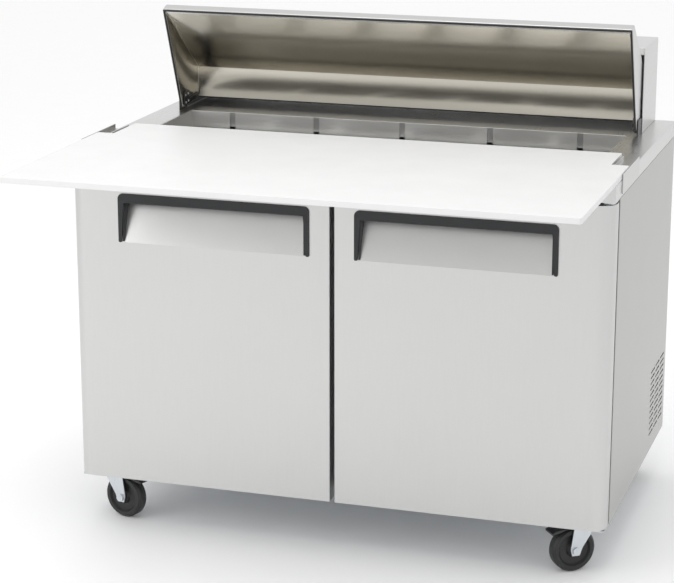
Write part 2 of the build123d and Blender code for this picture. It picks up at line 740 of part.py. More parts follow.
def caster_plates():
    """Fixed top plates with the upper swivel race, one at each corner."""
    solids = []
    for x, y, *_ in casters.values():
        half = swivel_plate / 2
        plate = slab(x - half, x + half, y - half, y + half, race_z1 + 0.2, base_height)
        plate = fillet(plate.edges().filter_by(Axis.Z), 8)
        pin = rod(kingpin_radius, (x, y, crown_z0 - 1), (x, y, base_height - 1))
        head = rod(kingpin_head, (x, y, crown_z0 - 3), (x, y, crown_z0 - 0.4))
        solids.append(plate + pin + head)
    return solids


# ---- condensing unit, evaporator and controls --------------------------------------------------------------
def compressor():
    """Hermetic compressor: domed shell on a flanged seam with four feet."""
    r = compressor_radius
    z0 = floor_z + 14
    z1 = z0 + compressor_height
    outline = [(0, z0), (r - 12, z0), (r, z0 + 12)]
    for angle in (0, 30, 60, 90):
        outline.append((r - compressor_dome * (1 - cos(radians(angle))),
                        z1 - compressor_dome * (1 - sin(radians(angle)))))
    outline.append((0, z1))
    profile = make_face(Polyline(*[(px, 0, pz) for px, pz in outline], close=True))
    centre = Pos(compressor_x, unit_y, 0)
    unit = centre * revolve(profile, axis=Axis.Z)
    unit = unit + centre * Pos(0, 0, z0 + compressor_height * 0.52) * Cylinder(r + 4, 5)
    unit = unit + centre * Pos(0, 0, z0 - 1) * Box(2 * r + 2, 2 * r + 2, 4)
    foot = r - 10
    for dx in (-foot, foot):
        for dy in (-foot, foot):
            unit = unit + centre * Pos(dx, dy, floor_z + 6.5) * Cylinder(9, 12.6)
    return unit


def condenser_coil():
    """Finned coil: end plates with thin fins and return bends between them."""
    y0, y1 = unit_y - coil_half, unit_y + coil_half
    z0, z1 = floor_z + 0.2, floor_z + coil_height
    x0, x1 = coil_x0, coil_x0 + coil_thickness
    coil = slab(x0, x1, y0, y0 + 3, z0, z1) + slab(x0, x1, y1 - 3, y1, z0, z1)
    coil = coil + slab(x0 + 4, x1 - 4, y0 + 2, y1 - 2, z0 + 6, z1 - 6)
    pitch = (2 * coil_half - 10) / coil_fins
    for index in range(coil_fins):
        y = y0 + 5 + (index + 0.3) * pitch
        coil = coil - slab(x0 - 1, x0 + 9, y, y + pitch * 0.55, z0 + 6, z1 - 6)
    return coil


def fan(centre, radius, blades, axis_turn, depth):
    """Axial fan wheel: a hub with pitched blades."""
    wheel = Cylinder(radius * 0.27, depth * 0.9)
    for index in range(blades):
        blade = Pos(radius * 0.6, 0, 0) * Rot(32, 0, 0) * Box(radius * 0.76, radius * 0.52, 1.6)
        wheel = wheel + Rot(0, 0, index * 360 / blades) * blade
    limit = Cylinder(radius, depth * 2)
    bore = Cylinder(fan_shaft_radius + running_gap, depth * 2)
    return Pos(*centre) * axis_turn * ((wheel & limit) - bore)


def condenser_fan():
    """Fan wheel that draws air through the condenser coil."""
    return fan(condenser_fan_place, condenser_fan_radius, 5, Rot(0, 90, 0), 26.0)


def fan_motor():
    """Motor and its bracket, bolted to the base pan; the fan runs on its shaft."""
    x = condenser_fan_x - 60
    can = Pos(x, unit_y, fan_z) * Rot(0, 90, 0) * Cylinder(motor_radius, motor_length)
    can = chamfer(can.edges().filter_by(GeomType.CIRCLE), 4)
    stand = slab(x - 14, x + 14, unit_y - 24, unit_y + 24, floor_z + 0.2, fan_z - 20)
    shaft = rod(fan_shaft_radius, (x, unit_y, fan_z), (condenser_fan_x + 14, unit_y, fan_z))
    return can + stand + shaft


def evaporator():
    """Evaporator box on the rear wall with a round fan port and the fan's motor shaft."""
    cx, fy, cz = evap_fan_place
    front = evap_y - evap_depth
    half_x, half_z = evap_half_width, evap_half_height
    box = slab(-half_x, half_x, front, evap_y - 0.2, cz - half_z, cz + half_z)
    box = fillet(box.edges().filter_by(Axis.X).sort_by(Axis.Y)[:2], 8)
    recess = rod(evap_fan_radius + 6, (cx, front - 1, cz), (cx, front + 32, cz))
    box = box - recess
    first = evap_fan_radius + 24
    pitch = (half_x - 14 - first) / evap_slots
    for index in range(evap_slots):
        x = first + (index + 0.5) * pitch
        for side in (-1, 1):
            box = box - Pos(side * x, front + 2, cz) * Box(pitch * 0.4, 12, 1.55 * half_z)
    shaft = rod(fan_shaft_radius, (cx, evap_y - 38, cz), (cx, fy - 12, cz))
    return box + shaft


def evaporator_fan():
    """Fan wheel that blows the cold air through the cabinet."""
    return fan(evap_fan_place, evap_fan_radius, 5, Rot(90, 0, 0), 18.0)


def cord_gland():
    """Grommet in the back panel where the supply cord comes in."""
    z = floor_z + gland_rise
    flange = rod(15, (gland_x, back_y - skin - 4, z), (gland_x, back_y - skin - 0.1, z))
    return flange - rod(5, (gland_x, back_y - skin - 5, z), (gland_x, back_y + 1, z))


# ---- write every node --------------------------------------------------------------------------
def build():
    """Write one STEP file for each node."""
    save("base_pan", base_pan())
    save("side_panel_left", side_skin(panel_top_z).mirror(Plane.YZ))
    save("side_panel_right", louver_field(side_skin(panel_top_z)))
    save("back_panel", back_panel())
    save("cabinet_walls", *cabinet_walls())
    save("front_frame", front_frame())
    save("deck_top", deck_top())
    save("pan_well", pan_well())
    save("divider_bars", *divider_bars())
    for row in range(pan_rows):
        for column in range(pans_across):
            x = (column - (pans_across - 1) / 2) * pan_pitch_x
            y = pans_front_y + (row + 0.5) * pan_pitch_y
            save("food_pan_" + "fr"[row] + str(column + 1), food_pan(x, y))
    save("rear_housing", rear_housing())
    save("lid_shell", lid_shell())
    save("lid_liner", lid_liner())
    save("lid_gasket", lid_gasket())
    save("lid_hinge_plates", *lid_hinge_plates())
    save("lid_brackets", *lid_brackets())
    save("cutting_board", cutting_board())
    for side, name in ((-1, "left"), (1, "right")):
        save("board_bracket_" + name, board_bracket(side))
        save("door_shell_" + name, door_shell(side))
        save("door_liner_" + name, door_liner(side))
        save("door_gasket_" + name, door_gasket(side))
        save("door_handle_" + name, door_handle(side))
        save("wire_shelf_" + name, wire_shelf(side))
    save("door_hinges", *hinge_pair(-1), *hinge_pair(1))
    save("shelf_supports", shelf_post(), *shelf_clips())
    save("caster_plates", *caster_plates())
    for name, (x, y, turn, braked) in casters.items():
        place = caster_place(x, y, turn)
        axle = caster_axle()
        save("caster_fork_" + name, place * (caster_fork() - axle), place * axle)
        save("caster_wheel_" + name, place * caster_wheel())
        if braked:
            save("caster_brake_" + name, place * caster_brake())
    save("compressor", compressor())
    save("condenser_coil", condenser_coil())
    save("condenser_fan", condenser_fan())
    save("fan_motor", fan_motor())
    save("evaporator", evaporator())
    save("evaporator_fan", evaporator_fan())
    save("cord_gland", cord_gland())


build()
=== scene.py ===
# %% [markdown]
# # A sandwich prep table
# The real object is a stainless cabinet on casters: two foamed doors, a deck with a row of food
# pans, a bright lined lid that folds back into a rear housing, and a deep white cutting board.
# The rigid frame is loaded first. Everything below is placed from that frame, so nothing here has
# to be fitted by eye, and every piece rides on the body that carries it.

# %% Load the frame
import json
import math

import bmesh
import bpy
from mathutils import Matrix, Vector


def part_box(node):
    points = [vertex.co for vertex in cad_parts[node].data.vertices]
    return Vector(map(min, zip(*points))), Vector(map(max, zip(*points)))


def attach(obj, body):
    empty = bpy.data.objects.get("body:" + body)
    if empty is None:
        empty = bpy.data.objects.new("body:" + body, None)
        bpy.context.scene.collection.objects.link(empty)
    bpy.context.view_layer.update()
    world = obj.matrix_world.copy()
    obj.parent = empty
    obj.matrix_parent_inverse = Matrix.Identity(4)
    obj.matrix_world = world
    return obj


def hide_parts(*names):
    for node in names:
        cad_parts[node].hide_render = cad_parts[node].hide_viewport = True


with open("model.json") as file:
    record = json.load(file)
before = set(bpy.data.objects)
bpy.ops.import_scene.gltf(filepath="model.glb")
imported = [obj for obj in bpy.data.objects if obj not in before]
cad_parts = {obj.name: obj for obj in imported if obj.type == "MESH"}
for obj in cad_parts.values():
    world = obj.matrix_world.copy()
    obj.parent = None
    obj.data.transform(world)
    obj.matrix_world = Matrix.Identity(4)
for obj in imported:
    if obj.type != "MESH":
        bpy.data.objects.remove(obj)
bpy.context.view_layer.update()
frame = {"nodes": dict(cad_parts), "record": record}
node_body = {n: body for body, names in frame["record"]["behaviour"]["bodies"].items() for n in names}
node_slot = {row["node"]: row["material_slot"] for row in frame["record"]["subparts"]}
MM = 0.001

# %% [markdown]
# ## Camera
# A cabinet like this is shown from a little above and to one side with a long lens, so that the
# doors stay nearly square. A short lens close up would splay the corners. The camera stands in
# front of the right-hand end and is turned back towards the middle. Its place is given from the
# door faces.

# %% Camera
DOOR_FACE_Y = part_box("door_shell_right")[0].y
CAMERA_OFFSET = Vector((1.3792, -4.2895, 1.8351))
CAMERA_TURN, CAMERA_TILT, CAMERA_LENS = 0.30854, 0.26645, 115.07

camera_data = bpy.data.cameras.new("camera")
camera_data.lens = CAMERA_LENS
camera_data.sensor_width = 36.0
camera = bpy.data.objects.new("camera", camera_data)
camera.location = (CAMERA_OFFSET.x, CAMERA_OFFSET.y + DOOR_FACE_Y, CAMERA_OFFSET.z)
camera.rotation_euler = (math.pi / 2 - CAMERA_TILT, 0.0, CAMERA_TURN)
bpy.context.scene.collection.objects.link(camera)
bpy.context.scene.camera = camera
print("camera at", [round(v, 3) for v in camera.location], "lens", CAMERA_LENS)

# %% [markdown]
# ## Light and floor
# Stainless steel shows its surroundings, so it is lit by large pale surfaces instead of bright
# small lamps. A white world fills the shadows; one big soft panel overhead and one at the left
# front give the doors and the deck their different greys. The side panels' darker grey is painted
# shade, set in their own finish.

# %% Light and floor
scene = bpy.context.scene
scene.view_settings.view_transform = "Standard"
world = bpy.data.worlds.new("studio")
scene.world = world
world.use_nodes = True
world.node_tree.nodes["Background"].inputs["Color"].default_value = (1.0, 1.0, 1.0, 1.0)
world.node_tree.nodes["Background"].inputs["Strength"].default_value = 1.0


def soft_panel(name, place, target, size, power):
    """A square area lamp aimed at a point."""
    lamp = bpy.data.lights.new(name, "AREA")
    lamp.size = size
    lamp.energy = power
    panel = bpy.data.objects.new(name, lamp)
    panel.location = place
    panel.rotation_euler = (Vector(target) - Vector(place)).to_track_quat("-Z", "Y").to_euler()
    scene.collection.objects.link(panel)


soft_panel("overhead_panel", (0.0, -0.8, 3.6), (0.0, 0.0, 0.6), 2.6, 34.0)
soft_panel("left_panel", (-2.8, -2.8, 2.0), (0.0, 0.0, 0.5), 2.2, 22.0)
print("world and two soft panels")

# %% [markdown]
# ## Materials
# Every finish is made of nodes on object coordinates, in metres, so grain and brush marks keep
# their real scale on every piece. A small library of helpers builds the parts that all finishes
# share: a noise stretched along one axis for rolled or brushed metal, and a bump from it.

# %% Material helpers
materials = {}


def new_finish(name, color, roughness, metallic=0.0):
    """A material with its tree, its principled shader and its object coordinates."""
    material = bpy.data.materials.new(name)
    material.use_nodes = True
    tree = material.node_tree
    shader = tree.nodes["Principled BSDF"]
    shader.inputs["Base Color"].default_value = (*color, 1.0)
    shader.inputs["Roughness"].default_value = roughness
    shader.inputs["Metallic"].default_value = metallic
    coordinates = tree.nodes.new("ShaderNodeTexCoord")
    materials[name] = material
    return tree, shader, coordinates.outputs["Object"]


def add_noise(tree, vector, scale, stretch=(1, 1, 1), detail=3.0, roughness=0.55):
    """Noise on coordinates stretched by a factor on each axis; returns its factor socket."""
    mapping = tree.nodes.new("ShaderNodeMapping")
    mapping.inputs["Scale"].default_value = stretch
    tree.links.new(vector, mapping.inputs["Vector"])
    noise = tree.nodes.new("ShaderNodeTexNoise")
    noise.inputs["Scale"].default_value = scale
    noise.inputs["Detail"].default_value = detail
    noise.inputs["Roughness"].default_value = roughness
    tree.links.new(mapping.outputs["Vector"], noise.inputs["Vector"])
    return noise.outputs["Fac"]


def add_range(tree, factor, low, high):
    """Spread a 0..1 factor between two values."""
    spread = tree.nodes.new("ShaderNodeMapRange")
    spread.inputs["From Min"].default_value = 0.25
    spread.inputs["From Max"].default_value = 0.75
    spread.inputs["To Min"].default_value = low
    spread.inputs["To Max"].default_value = high
    tree.links.new(factor, spread.inputs["Value"])
    return spread.outputs["Result"]


def add_tint(tree, factor, shader, low, high):
    """Vary the base colour between two colours by a factor."""
    ramp = tree.nodes.new("ShaderNodeValToRGB")
    ramp.color_ramp.elements[0].position = 0.3
    ramp.color_ramp.elements[0].color = (*low, 1.0)
    ramp.color_ramp.elements[1].position = 0.7
    ramp.color_ramp.elements[1].color = (*high, 1.0)
    tree.links.new(factor, ramp.inputs["Fac"])
    tree.links.new(ramp.outputs["Color"], shader.inputs["Base Color"])


def add_bump(tree, height, shader, strength, distance):
    """Bump from a height factor; the distance is in metres."""
    bump = tree.nodes.new("ShaderNodeBump")
    bump.inputs["Strength"].default_value = strength
    bump.inputs["Distance"].default_value = distance
    tree.links.new(height, bump.inputs["Height"])
    tree.links.new(bump.outputs["Normal"], shader.inputs["Normal"])


def add_product(tree, socket, factor):
    """A socket's value times a constant; works in material and geometry trees."""
    product = tree.nodes.new("ShaderNodeMath")
    product.operation = "MULTIPLY"
    product.inputs[1].default_value = factor
    tree.links.new(socket, product.inputs[0])
    return product.outputs[0]


# %% [markdown]
# ### Steel
# Sheet steel comes in several looks. The outside is a satin sheet with very fine vertical or
# level brush marks and faint hand marks. The side panels are the same sheet with painted shade:
# a darker copy stands in for the shade on the side. The lid's liner is bright annealed, and its
# warm brownish tint is a painted reflection; pans and well are duller. Zinc-plated pressings have
# a fine bluish mottle. An image of brushed steel would repeat and has no real scale, so the marks
# are a noise drawn out along one axis. The finishes differ in colour, roughness and that axis.

# %% Steel finishes
BRUSH_SCALE, BRUSH_DRAW, BRUSH_RELIEF = 900.0, 0.02, 0.0002
CLOUD_SCALE, BRUSH_SHARE, DARK_SHARE = 5.0, 0.6, 0.955


def steel(name, color, roughness, brush_axis, brush_depth, mottle):
    """Metal with stretched brush marks, cloudy roughness and faint tone changes."""
    tree, shader, coords = new_finish(name, color, roughness, 1.0)
    stretch = [1.0, 1.0, 1.0]
    stretch[brush_axis] = BRUSH_DRAW
    brush = add_noise(tree, coords, BRUSH_SCALE, tuple(stretch), 2.0)
    cloud = add_noise(tree, coords, CLOUD_SCALE, (1, 1, 1), 4.0)
    mixed = tree.nodes.new("ShaderNodeMath")
    mixed.operation = "MULTIPLY_ADD"
    mixed.inputs[1].default_value = BRUSH_SHARE
    tree.links.new(brush, mixed.inputs[0])
    tree.links.new(add_product(tree, cloud, 1.0 - BRUSH_SHARE), mixed.inputs[2])
    rough = add_range(tree, mixed.outputs[0], roughness - mottle, roughness + mottle)
    tree.links.new(rough, shader.inputs["Roughness"])
    dark = tuple(c * DARK_SHARE for c in color)
    add_tint(tree, mixed.outputs[0], shader, dark, color)
    add_bump(tree, brush, shader, brush_depth, BRUSH_RELIEF)


steel("stainless", (0.600, 0.600, 0.594), 0.36, 2, 0.10, 0.05)
steel("stainless_level", (0.600, 0.600, 0.595), 0.30, 1, 0.12, 0.05)
# painted shade: a darker copy of the same sheet stands in for the shade on the side panels
steel("stainless_side_painted_shade", (0.470, 0.475, 0.462), 0.38, 2, 0.10, 0.05)
# painted reflection: the warm brownish tint stands in for what the bright liner mirrors
steel("mirror_steel", (0.600, 0.570, 0.500), 0.20, 0, 0.03, 0.03)
steel("pan_steel", (0.720, 0.720, 0.710), 0.34, 2, 0.05, 0.05)
steel("well_steel", (0.740, 0.735, 0.720), 0.38, 0, 0.05, 0.05)
steel("zinc", (0.620, 0.650, 0.680), 0.30, 2, 0.12, 0.08)
steel("inner_liner", (0.640, 0.650, 0.650), 0.42, 2, 0.06, 0.05)

# %% [markdown]
# ### Plastics, rubber and paint
# The board is dense white plastic with a fine knife-safe grain. Handles are moulded with a
# leathery spark texture. Rubber is dull and slightly dusty, and the wire shelf is dipped in a
# soft epoxy that pools into a faint orange peel. Each one is a colour, a grain and a bump.

# %% Plastics, rubber and paint
MOULD_CLOUD_SCALE, MOULD_MOTTLE, MOULD_RELIEF = 9.0, 0.05, 0.0003


def moulded(name, low, high, roughness, grain, depth, metallic=0.0):
    """Plastic or paint: cloudy colour, grainy roughness and a fine bump."""
    tree, shader, coords = new_finish(name, high, roughness, metallic)
    cloud = add_noise(tree, coords, MOULD_CLOUD_SCALE, (1, 1, 1), 5.0)
    texture = add_noise(tree, coords, grain, (1, 1, 1), 3.0, 0.6)
    add_tint(tree, cloud, shader, low, high)
    rough = add_range(tree, texture, roughness - MOULD_MOTTLE, roughness + MOULD_MOTTLE)
    tree.links.new(rough, shader.inputs["Roughness"])
    add_bump(tree, texture, shader, depth, MOULD_RELIEF)


moulded("board_plastic", (0.700, 0.700, 0.698), (0.730, 0.730, 0.728), 0.46, 1400.0, 0.10)
moulded("handle_plastic", (0.008, 0.009, 0.010), (0.013, 0.014, 0.016), 0.50, 1600.0, 0.30)
moulded("black_steel", (0.015, 0.015, 0.016), (0.024, 0.024, 0.026), 0.34, 700.0, 0.15)
moulded("seal_rubber", (0.014, 0.014, 0.014), (0.026, 0.026, 0.027), 0.62, 900.0, 0.25)
moulded("tyre_rubber", (0.009, 0.009, 0.010), (0.018, 0.018, 0.019), 0.48, 500.0, 0.30)
moulded("shelf_wire", (0.700, 0.710, 0.710), (0.780, 0.790, 0.785), 0.36, 300.0, 0.20)
moulded("coil_aluminium", (0.560, 0.570, 0.580), (0.640, 0.650, 0.660), 0.38, 600.0, 0.20, 1.0)
moulded("compressor_paint", (0.010, 0.010, 0.011), (0.018, 0.018, 0.020), 0.24, 250.0, 0.15)
moulded("fan_plastic", (0.030, 0.030, 0.032), (0.045, 0.045, 0.048), 0.45, 900.0, 0.20)
moulded("grey_plastic", (0.600, 0.610, 0.612), (0.660, 0.668, 0.670), 0.46, 700.0, 0.15)
moulded("floor_paint", (0.950, 0.950, 0.950), (0.960, 0.960, 0.960), 0.65, 300.0, 0.03)
print(len(materials), "finishes")

# %% [markdown]
# ## Floor
# A plain pale floor catches the soft contact shadow under the casters. It is only a stage and
# never becomes part of the object.

# %% Floor
FLOOR_REACH = 30.0
floor_corners = [(x * FLOOR_REACH, y * FLOOR_REACH, 0) for x, y in ((-1, -1), (1, -1), (1, 1), (-1, 1))]
floor_mesh = bpy.data.meshes.new("floor")
floor_mesh.from_pydata(floor_corners, [], [(0, 1, 2, 3)])
floor_mesh.materials.append(materials["floor_paint"])
floor = bpy.data.objects.new("floor", floor_mesh)
scene.collection.objects.link(floor)
print("floor", 2 * FLOOR_REACH, "m wide")

# %% [markdown]
# ## Refining the rigid pieces
# A CAD node arrives as loose triangles with knife-sharp edges. Real folded sheet and moulded
# plastic always have a small radius that catches the light. Each visible node is copied, its
# doubles merged, its flat areas joined back into single faces, and a bevel is run round the
# sharp edges. The copy then stands for the node, while the node keeps doing the physics.

# %% Refine helper
FLAT_ANGLE = math.radians(0.4)
SHARP_ANGLE = math.radians(28)
CREASE_ANGLE = math.radians(12)
MERGE_DISTANCE = 0.00002


def finish_piece(piece, body, finish, replaced=()):
    """Give a piece its material, its body and the nodes that it stands for."""
    piece.data.materials.clear()
    piece.data.materials.append(materials[finish])
    for polygon in piece.data.polygons:
        polygon.material_index = 0
    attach(piece, body)
    if replaced:
        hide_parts(*replaced)
    return piece


def new_piece(name, mesh):
    """Link a mesh as an object at the origin."""
    piece = bpy.data.objects.new(name, mesh)
    scene.collection.objects.link(piece)
    return piece


def shade_by_angle(mesh, angle=SHARP_ANGLE):
    """Smooth shading with hard edges where faces meet sharply."""
    mesh.shade_smooth()
    mesh.set_sharp_from_angle(angle=angle)


def roll_edges(piece, width_mm, segments=2, sharp=SHARP_ANGLE):
    """A small bevel on every edge that is sharper than an angle."""
    bevel = piece.modifiers.new("rolled edge", "BEVEL")
    bevel.width = width_mm * MM
    bevel.segments = segments
    bevel.limit_method = "ANGLE"
    bevel.angle_limit = sharp
    bevel.harden_normals = True


def refine(node, edge_mm, finish=None, sharp=SHARP_ANGLE):
    """Stand a smooth-shaded copy with rolled edges in for a CAD node."""
    mesh = frame["nodes"][node].data.copy()
    mesh.name = node + "_finished"
    work = bmesh.new()
    work.from_mesh(mesh)
    bmesh.ops.remove_doubles(work, verts=work.verts, dist=MERGE_DISTANCE)
    bmesh.ops.dissolve_limit(work, angle_limit=FLAT_ANGLE, verts=work.verts, edges=work.edges)
    work.to_mesh(mesh)
    work.free()
    shade_by_angle(mesh, sharp)
    piece = new_piece(node + "_finished", mesh)
    if edge_mm:
        roll_edges(piece, edge_mm, sharp=sharp)
    slot = node_slot[node]
    return finish_piece(piece, node_body[node], finish or slot, (node,))


# %% [markdown]
# ### Which radius goes where
# The deck has a rolled edge of about a millimetre, and the moulded door liners one of two. Thin
# sheet gets a radius well under its thickness, or the bevel would eat the sheet. The doors keep
# creases down to a smaller angle than the rest, because the lower edge of the pull pocket is a
# shallow fold: smoothed over, it would spread a false glow across the door.

# %% Refine the visible nodes
SIDES = ("left", "right")
for side in SIDES:
    refine("door_shell_" + side, 0.5, sharp=CREASE_ANGLE)
    # the side panels take the darker copy of the steel, which is painted shade
    refine("side_panel_" + side, 0.0, "stainless_side_painted_shade")
    refine("door_liner_" + side, 2.0)
    refine("board_bracket_" + side, 0.5)
refine("deck_top", 0.8, "stainless_level")
refine("rear_housing", 0.5, "stainless_level")
refine("cutting_board", 0.4)
refine("lid_brackets", 0.4)
refine("pan_well", 0.4, "well_steel")
refine("divider_bars", 0.8)
refine("front_frame", 1.0)
refine("evaporator", 1.2)
for node in frame["nodes"]:
    if node.startswith(("caster_fork", "caster_wheel", "caster_brake")):
        refine(node, 0.6)

# %% [markdown]
# ## Helpers for pieces made here
# Sheet and moulded pieces start as a flat outline with some corners rounded, which is then pushed
# to a thickness. The outline is given in two directions of its own, and a small function places
# it in space, so the same helper makes a handle in the door's plane and a cheek across it.

# %% Outline helpers


def round_corners(points, radii, steps=6):
    """Replace each corner of an outline by an arc of its radius."""
    rounded = []
    for index, (point, radius) in enumerate(zip(points, radii)):
        here = Vector((*point, 0.0))
        if not radius:
            rounded.append((here.x, here.y))
            continue
        before = (Vector((*points[index - 1], 0.0)) - here).normalized()
        after = (Vector((*points[(index + 1) % len(points)], 0.0)) - here).normalized()
        half = before.angle(after) / 2
        centre = here + (before + after).normalized() * (radius / math.sin(half))
        reach = radius / math.tan(half)
        start = (here + before * reach - centre).normalized()
        end = (here + after * reach - centre).normalized()
        for step in range(steps + 1):
            spot = centre + start.slerp(end, step / steps) * radius
            rounded.append((spot.x, spot.y))
    return rounded


def push_outline(work, outline, place, thickness):
    """Add a closed plate to a bmesh: the placed outline pushed along the thickness vector."""
    near = [work.verts.new(place(u, v)) for u, v in outline]
    far = [work.verts.new(vert.co + thickness) for vert in near]
    faces = [work.faces.new(near), work.faces.new(far[::-1])]
    for index in range(len(near)):
        after = (index + 1) % len(near)
        faces.append(work.faces.new((near[index], far[index], far[after], near[after])))
    bmesh.ops.recalc_face_normals(work, faces=faces)


def along_x(length):
    """The thickness vector of a piece that is pushed along the cabinet."""
    return Vector((length, 0.0, 0.0))


def piece_from(work, name, edge_mm=0.0, segments=2):
    """Turn a bmesh into a linked, smooth-shaded piece with rolled edges."""
    mesh = bpy.data.meshes.new(name)
    work.to_mesh(mesh)
    work.free()
    shade_by_angle(mesh)
    piece = new_piece(name, mesh)
    if edge_mm:
        roll_edges(piece, edge_mm, segments)
    return piece


# %% [markdown]
# ## Door handles
# The real grip is one black moulding: a bar over the finger pocket, two legs that taper down its
# ends and cheeks that line the pocket's side walls. It could be cut from one block, but each face
# is really a flat outline: the legs and bar are one, pushed out from the door, and the lip and the
# cheeks are others, pushed along it. Overlapping closed plates keep every corner editable.

# %% Door handles
HANDLE_BAR, HANDLE_LEG, HANDLE_TIP, HANDLE_CORNER = 0.021, 0.0135, 0.0080, 0.012
TIP_CORNER, CROTCH_CORNER, LIP_CORNER = 0.003, 0.002, 0.0035
POCKET_INSET, POCKET_DROP, POCKET_ROOF, POCKET_DEPTH = 0.009, 0.003, 0.022, 0.0312
POCKET_CHEEK, CHEEK_CLEARANCE = 0.004, 0.0003


def door_handle(side):
    """One handle, built from the box of the handle that it stands for."""
    node = "door_handle_" + side
    low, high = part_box(node)
    bar_z = high.z - HANDLE_BAR
    corners = [(low.x, low.z), (low.x + HANDLE_TIP, low.z), (low.x + HANDLE_LEG, bar_z),
               (high.x - HANDLE_LEG, bar_z), (high.x - HANDLE_TIP, low.z), (high.x, low.z),
               (high.x, high.z), (low.x, high.z)]
    radii = [TIP_CORNER, TIP_CORNER, CROTCH_CORNER, CROTCH_CORNER, TIP_CORNER, TIP_CORNER,
             HANDLE_CORNER, HANDLE_CORNER]
    work = bmesh.new()
    push_outline(work, round_corners(corners, radii), lambda u, v: Vector((u, low.y, v)),
                 Vector((0.0, DOOR_FACE_Y - low.y, 0.0)))
    left, right = low.x + POCKET_INSET, high.x - POCKET_INSET
    top = high.z - POCKET_DROP
    front, back = DOOR_FACE_Y - MM, DOOR_FACE_Y + POCKET_DEPTH
    lip_top, cheek_foot = top - 2 * MM, low.z + 2 * MM
    lip = [(front, bar_z), (high.y, bar_z), (high.y, lip_top), (front, lip_top)]
    push_outline(work, round_corners(lip, [0, LIP_CORNER, LIP_CORNER, 0]),
                 lambda u, v: Vector((left + MM, u, v)), along_x(right - left - 2 * MM))
    cheek = [(front, cheek_foot), (DOOR_FACE_Y, cheek_foot), (back, top - POCKET_ROOF + MM),
             (back, top - MM), (front, top - MM)]
    for start in (left + CHEEK_CLEARANCE, right - CHEEK_CLEARANCE - POCKET_CHEEK):
        push_outline(work, cheek, lambda u, v, x=start: Vector((x, u, v)), along_x(POCKET_CHEEK))
    piece = piece_from(work, "handle_grip_" + side, 0.9)
    return finish_piece(piece, node_body[node], "handle_plastic", (node,))


for side in SIDES:
    grip = door_handle(side)
    print(grip.name, len(grip.data.polygons), "faces before rolling the edges")

# %% [markdown]
# ## The lid
# The real hood is a folded wedge: a front edge, a long top, a short back and two thin cheeks, open
# at the rim and behind the pivots, so that the open lid looks straight down into the pans. It is
# easiest to draw closed, when its rim is level: every point is given in metres behind and above
# the pivot, and one function swings it open by the hinge's own range.

# %% Lid outline about the pivot
LID = next(j for j in frame["record"]["behaviour"]["joints"] if j["name"] == "lid_hinge")
PIVOT = Vector(LID["pos_m"])
OPEN_ANGLE = -math.radians(LID["range_deg"][1])
LID_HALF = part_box("lid_shell")[1].x
CHEEK, LID_WALL, RIM_Z = 0.006, 0.020, -0.018
HOOD_FRONT, HOOD_FRONT_TOP = (-0.262, RIM_Z), (-0.262, 0.004)
HOOD_PEAK, HOOD_REAR, HOOD_REAR_RIM = (-0.0327, 0.1310), (0.0439, 0.0987), (0.0100, RIM_Z)
INNER_FRONT, INNER_PEAK = (-0.2520, RIM_Z), (-0.0278, 0.1116)


def swung(y, z, x):
    """A point of the closed lid, given about the pivot, in its open place."""
    turned_y = y * math.cos(OPEN_ANGLE) - z * math.sin(OPEN_ANGLE)
    turned_z = y * math.sin(OPEN_ANGLE) + z * math.cos(OPEN_ANGLE)
    return Vector((x, PIVOT.y + turned_y, PIVOT.z + turned_z))


def rear_edge(along, inward):
    """A point on the cheek's rear edge, measured from the rim end of that edge."""
    start, end = Vector(HOOD_REAR_RIM), Vector(HOOD_REAR)
    run = (end - start).normalized()
    spot = start + run * along + Vector((-run.y, run.x)) * inward
    return (spot.x, spot.y)


REAR_EDGE = (Vector(HOOD_REAR) - Vector(HOOD_REAR_RIM)).length
INNER_FOOT = rear_edge(REAR_EDGE - LID_WALL, 0.0)
print("lid", 2 * LID_HALF, "m wide, opens", round(math.degrees(-OPEN_ANGLE), 1), "degrees")

# %% [markdown]
# ### Hood
# Two profiles, the outside and the hollow, each stand at both ends of the lid. Cheeks are single
# faces, walls are plain quads between the ends, and two U-shaped faces close the rim and the
# foot. A boolean of two wedges would give the same solid with a less even mesh.

# %% Hood
HOOD_EDGE = 2.2


def profile_ends(work, points, reach):
    """A lid profile at the left and the right end."""
    return [[work.verts.new(swung(y, z, x)) for y, z in points] for x in (-reach, reach)]


def wall_between(work, left, right, count):
    """The first few quads between two ends."""
    for index in range(count):
        work.faces.new((left[index], right[index], right[index + 1], left[index + 1]))


def lid_shell():
    """The outer hood as one closed mesh."""
    outside = [HOOD_FRONT, HOOD_FRONT_TOP, HOOD_PEAK, HOOD_REAR, HOOD_REAR_RIM]
    hollow = [INNER_FRONT, INNER_PEAK, INNER_FOOT, HOOD_REAR_RIM]
    work = bmesh.new()
    outer_left, outer_right = profile_ends(work, outside, LID_HALF)
    inner_left, inner_right = profile_ends(work, hollow, LID_HALF - CHEEK)
    for profile in (outer_left, outer_right, inner_left, inner_right):
        work.faces.new(profile)
    wall_between(work, outer_left, outer_right, 3)
    wall_between(work, inner_left, inner_right, 2)
    for outer_end, inner_end in ((0, 0), (3, 2)):
        work.faces.new((outer_left[4], outer_left[outer_end], outer_right[outer_end], outer_right[4],
                        inner_right[3], inner_right[inner_end], inner_left[inner_end], inner_left[3]))
    bmesh.ops.recalc_face_normals(work, faces=work.faces)
    piece = piece_from(work, "hood", HOOD_EDGE, 3)
    return finish_piece(piece, "lid", "stainless_level", ("lid_shell",))


print(len(lid_shell().data.polygons), "faces in the hood before rolling the edges")

# %% [markdown]
# ### Liner
# On the real lid bright annealed sheet lines the hollow. It could be a second closed solid, but it
# is thin and even, so it is drawn as one surface a little inside the hood and given its thickness
# by Solidify. Its crease from slope to back stays sharp, as a fold in bright sheet does.

# %% Liner
LINER_GAP, LINER_SHEET, LINER_FOLD = 0.0006, 0.0005, 0.0002
LINER_INSIDE = (-0.1, 0.03)


